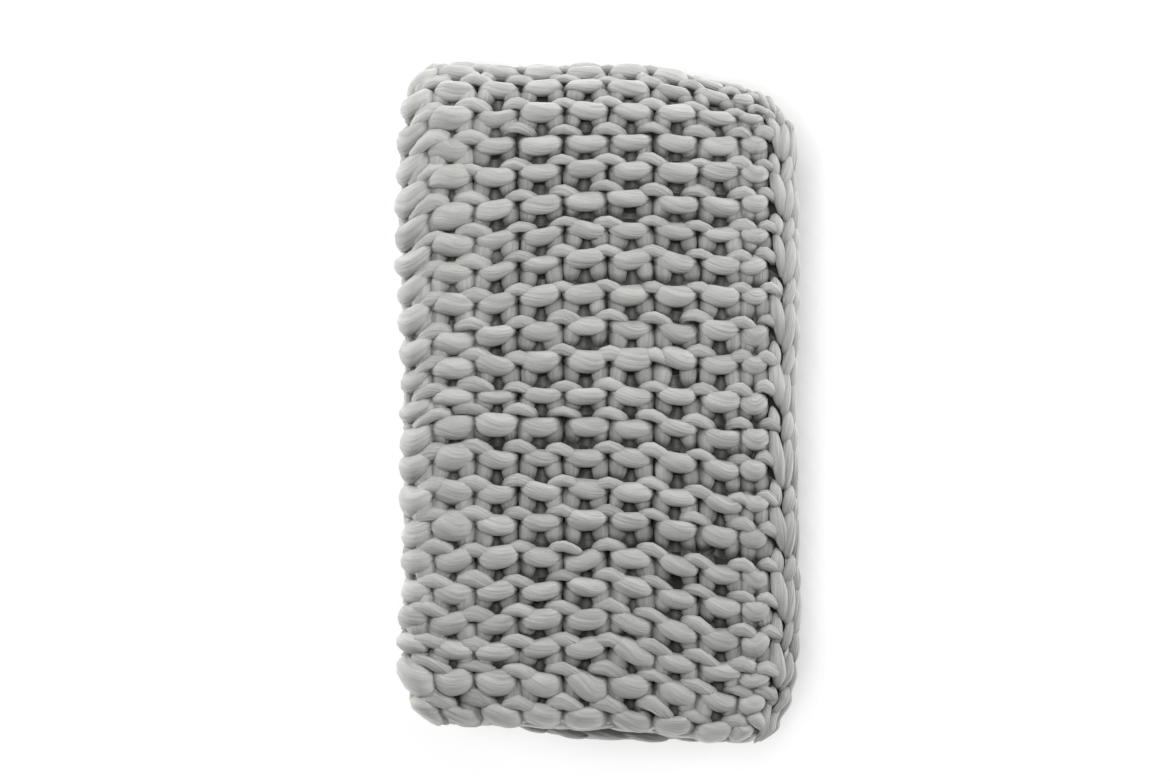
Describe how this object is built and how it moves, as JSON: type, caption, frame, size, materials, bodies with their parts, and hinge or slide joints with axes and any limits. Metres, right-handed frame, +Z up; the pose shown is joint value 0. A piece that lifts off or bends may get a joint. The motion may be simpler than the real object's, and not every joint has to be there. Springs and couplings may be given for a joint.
{
  "type": "throw blanket",
  "caption": "Chunky grey garter-stitch knitted throw blanket, folded in thirds across its width and then in half, lying as a thick soft-edged pile.",
  "frame": {"origin": "middle of the folded outline, on the surface that the pile lies on", "axes": "+Z up, +Y along the pile towards the half fold, +X along the ridges towards the knitted edge with the chain"},
  "size_m": [0.4292, 0.7378, 0.1599],
  "materials": {
    "grey_yarn": "matte, soft light grey roving yarn, lightly twisted, in thick garter stitches"
  },
  "bodies": {
    "root": {"throw": "grey_yarn"}
  },
  "joints": []
}
